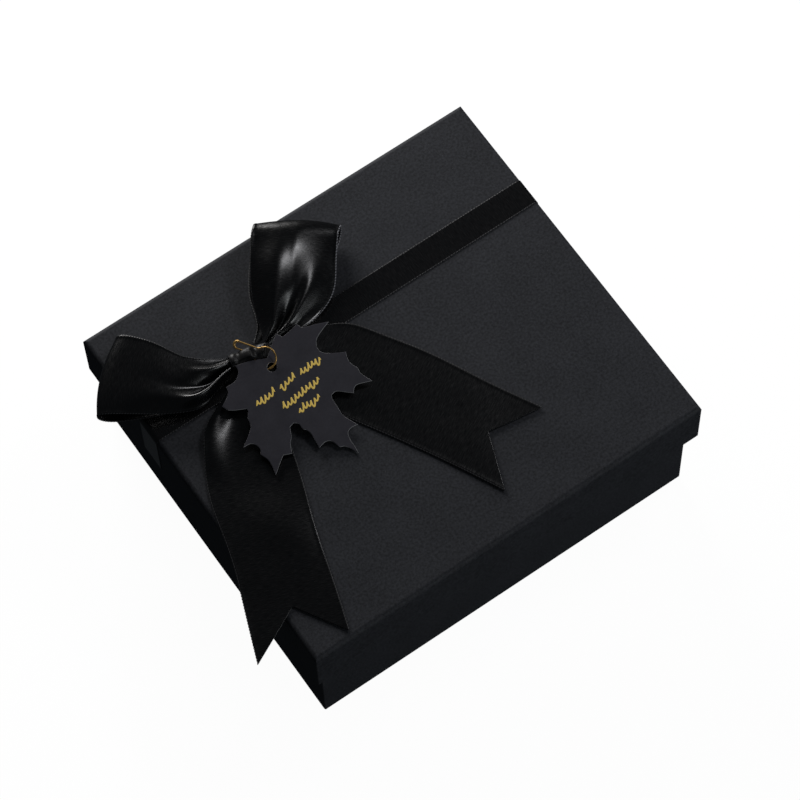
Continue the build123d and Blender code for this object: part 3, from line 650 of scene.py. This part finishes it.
def plate(name, outlines, thick, bevel, z_mid, mats):
    """Flat outlines, holes among them, as a closed plate with its edges eased."""
    cu = bpy.data.curves.new(name + "_outline", "CURVE")
    cu.dimensions = "2D"
    cu.fill_mode = "BOTH"
    cu.extrude = (thick / 2 - bevel) * MM
    cu.bevel_depth = bevel * MM
    cu.bevel_resolution = 2
    cu.offset = -bevel * MM
    for pts in outlines:
        sp = cu.splines.new("POLY")
        sp.points.add(len(pts) - 1)
        sp.points.foreach_set("co", [v for x, y in pts for v in (x * MM, y * MM, 0.0, 1.0)])
        sp.use_cyclic_u = True
    tmp = bpy.data.objects.new(name + "_outline", cu)
    bpy.context.scene.collection.objects.link(tmp)
    bpy.context.view_layer.update()
    me = bpy.data.meshes.new_from_object(tmp.evaluated_get(bpy.context.evaluated_depsgraph_get()))
    bpy.data.objects.remove(tmp)
    bpy.data.curves.remove(cu)
    me.name = name
    me.materials.clear()
    for x in mats:
        me.materials.append(x)
    bm = bmesh.new()
    bm.from_mesh(me)
    bmesh.ops.remove_doubles(bm, verts=bm.verts, dist=2e-6)
    bmesh.ops.dissolve_degenerate(bm, edges=bm.edges, dist=1e-6)
    bmesh.ops.recalc_face_normals(bm, faces=bm.faces)
    for f in bm.faces:
        # the pale edge colour is the card's own grey core, but on faces towards the lamps (+x, -y) it is carried up
        # onto the top bevel as a painted highlight; on the other sides it stays on the steep cut edge
        lit_side = 0.60 * f.normal.x - 0.60 * f.normal.y > -0.10
        f.material_index = 1 if len(mats) > 1 and abs(f.normal.z) < (0.93 if lit_side else 0.45) else 0
        f.smooth = abs(f.normal.z) < 0.995
    bmesh.ops.transform(bm, matrix=TAG @ Matrix.Translation((0, 0, z_mid * MM)), verts=bm.verts)
    bm.to_mesh(me)
    bm.free()
    ob = bpy.data.objects.new(name, me)
    bpy.context.scene.collection.objects.link(ob)
    return ob


outline = eased([(x + OUT[0], y + OUT[1]) for x, y in LEAF])
ring = [(2.1 * math.cos(2 * math.pi * i / 48), 2.1 * math.sin(2 * math.pi * i / 48)) for i in range(48)]
leaf = plate("leaf_tag_card", [outline, ring], 0.60, 0.17, 0.0, [M_CARD, M_EDGE_AND_RIM_HIGHLIGHT])


# gold foil: three lines of a plain running scroll, each a flat raised bead of foil
def bead(mid, half, high, z0):
    """Sweep a flat lens section along a line; both ends are closed by a small cap."""
    n, k = len(mid), 8
    verts, faces = [], []
    for i, (x, y) in enumerate(mid):
        a, b = mid[max(0, i - 1)], mid[min(n - 1, i + 1)]
        tx, ty = b[0] - a[0], b[1] - a[1]
        m = math.hypot(tx, ty) or 1.0
        end = min(1.0, 0.25 + min(i, n - 1 - i) / 4)
        for j in range(k):
            w = half * end * math.cos(2 * math.pi * j / k)
            verts.append(((x - ty / m * w) * MM, (y + tx / m * w) * MM, (z0 + high * end * math.sin(2 * math.pi * j / k)) * MM))
    for i in range(n - 1):
        for j in range(k):
            q = (j + 1) % k
            faces.append((i * k + j, i * k + q, (i + 1) * k + q, (i + 1) * k + j))
    faces.append(tuple(range(k))[::-1])
    faces.append(tuple((n - 1) * k + j for j in range(k)))
    return verts, faces


def scroll(x0, y0, x1, y1, waves, seed):
    L = math.hypot(x1 - x0, y1 - y0)
    dx, dy = (x1 - x0) / L, (y1 - y0) / L
    ends = [1.0 + 0.30 * math.sin(seed + 2.3 * i) + (0.95 if (i + seed) % 5 == 0 else 0.0) for i in range(2 * waves + 1)]
    ends = [(v if i % 2 else -v) * (0.5 if i in (0, 2 * waves) else 1.0) for i, v in enumerate(ends)]
    mid = []
    for i in range(2 * waves):
        for q in range(10):
            f = q / 10
            h = ends[i] + (ends[i + 1] - ends[i]) * (1 - math.cos(math.pi * f)) / 2
            t = (i + f) / (2 * waves) * L + 0.42 * h + 0.30 * math.sin(math.pi * (i + f))
            mid.append((x0 + dx * t - dy * h + OUT[0], y0 + dy * t + dx * h + OUT[1]))
    return mid


foils = []
runs = (
    (-15.2, -8.6, -4.8, -8.0, 5, 1), (-2.6, -7.9, 6.0, -7.4, 4, 3), (8.4, -7.2, 19.8, -6.6, 6, 5),
    (-6.4, -16.1, 14.2, -13.7, 10, 4), (-1.7, -21.2, 9.9, -20.5, 6, 2),
)
for q, line in enumerate(runs):
    v, f = bead(scroll(*line), 0.37, 0.09, 0.30)
    me = bpy.data.meshes.new(f"foil_{q}")
    me.from_pydata(v, [], f)
    bm = bmesh.new()
    bm.from_mesh(me)
    bmesh.ops.recalc_face_normals(bm, faces=bm.faces)
    for face in bm.faces:
        face.smooth = len(face.verts) == 4
    bmesh.ops.transform(bm, matrix=TAG, verts=bm.verts)
    bm.to_mesh(me)
    bm.free()
    o = bpy.data.objects.new(f"foil_{q}", me)
    bpy.context.scene.collection.objects.link(o)
    foils.append(o)
bm = bmesh.new()
for o in foils:
    bm.from_mesh(o.data)
    me = o.data
    bpy.data.objects.remove(o)
    bpy.data.meshes.remove(me)
me = bpy.data.meshes.new("tag_foil_flourish")
bm.to_mesh(me)
bm.free()
me.materials.append(M_FOIL)
foil = bpy.data.objects.new("tag_foil_flourish", me)
bpy.context.scene.collection.objects.link(foil)

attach(leaf, "tag")
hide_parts("leaf_tag")
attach(foil, "tag")
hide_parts("tag_foil")


# ------------------------------------------------------------------ floor, light, camera
scene = bpy.context.scene


def stage_mat(name, col, emit):
    m = bpy.data.materials.new(name)
    m.use_nodes = True
    b = m.node_tree.nodes["Principled BSDF"]
    b.inputs["Base Color"].default_value = (*col, 1)
    b.inputs["Roughness"].default_value = 0.9
    b.inputs["Specular IOR Level"].default_value = 0.0
    b.inputs["Emission Color"].default_value = (1, 1, 1, 1)
    b.inputs["Emission Strength"].default_value = emit
    return m


def camera_only(o):
    o.visible_diffuse = o.visible_glossy = o.visible_transmission = o.visible_volume_scatter = o.visible_shadow = False


bpy.ops.mesh.primitive_plane_add(size=30, location=(0, 0, -0.0002))
floor = bpy.context.active_object
floor.name = "floor"
floor.data.materials.append(stage_mat("floor_pale", (0.10, 0.10, 0.10), 0.97))
camera_only(floor)
bpy.ops.mesh.primitive_uv_sphere_add(segments=48, ring_count=24, radius=14.5, location=(0, 0, 0))
dome = bpy.context.active_object
dome.name = "backdrop"
dome.data.materials.append(stage_mat("backdrop_pale", (0.0, 0.0, 0.0), 1.0))
camera_only(dome)

world = bpy.data.worlds.new("studio")
world.use_nodes = True
world.node_tree.nodes["Background"].inputs[0].default_value = (0.80, 0.90, 1.0, 1)
world.node_tree.nodes["Background"].inputs[1].default_value = 0.022
scene.world = world


def softbox(name, direction, dist, size, watts, color=(1, 1, 1), aim=(0, 0, 0.06), size_y=None):
    li = bpy.data.lights.new(name, "AREA")
    li.shape = "RECTANGLE"
    li.size, li.size_y = size, size_y or size
    li.energy = watts
    li.color = color
    o = bpy.data.objects.new(name, li)
    d = Vector(direction).normalized()
    o.location = Vector(aim) + d * dist
    o.rotation_euler = (-d).to_track_quat("-Z", "Y").to_euler()
    scene.collection.objects.link(o)
    return o


softbox("key", (0.12, 0.72, 0.235), 0.77, 0.40, 3.35, (1.0, 0.985, 0.97))
softbox("top", (0.60, 0.02, 0.80), 1.00, 0.24, 0.97, (0.97, 0.97, 1.0))
softbox("fill", (0.40, -0.85, 0.27), 1.00, 0.46, 1.20, (0.94, 0.98, 1.0))

cam_data = bpy.data.cameras.new("camera")
cam = bpy.data.objects.new("camera", cam_data)
scene.collection.objects.link(cam)
right = Vector((0.82185, -0.56943, -0.01763))
down = Vector((-0.52774, -0.74931, -0.40004))
fwd = Vector((0.21458, 0.33807, -0.91633))
rot = Matrix((right, -down, -fwd)).transposed()
cam.matrix_world = Matrix.Translation(Vector((-343.8, -548.34, 1530.85)) * MM) @ rot.to_4x4()
cam_data.sensor_width = 36.0
cam_data.lens = 166.3675
cam_data.clip_start, cam_data.clip_end = 0.05, 60.0
scene.camera = cam
scene.view_settings.view_transform = "Standard"
scene.view_settings.look = "None"
scene.view_settings.exposure = 0.0
scene.view_settings.gamma = 1.0
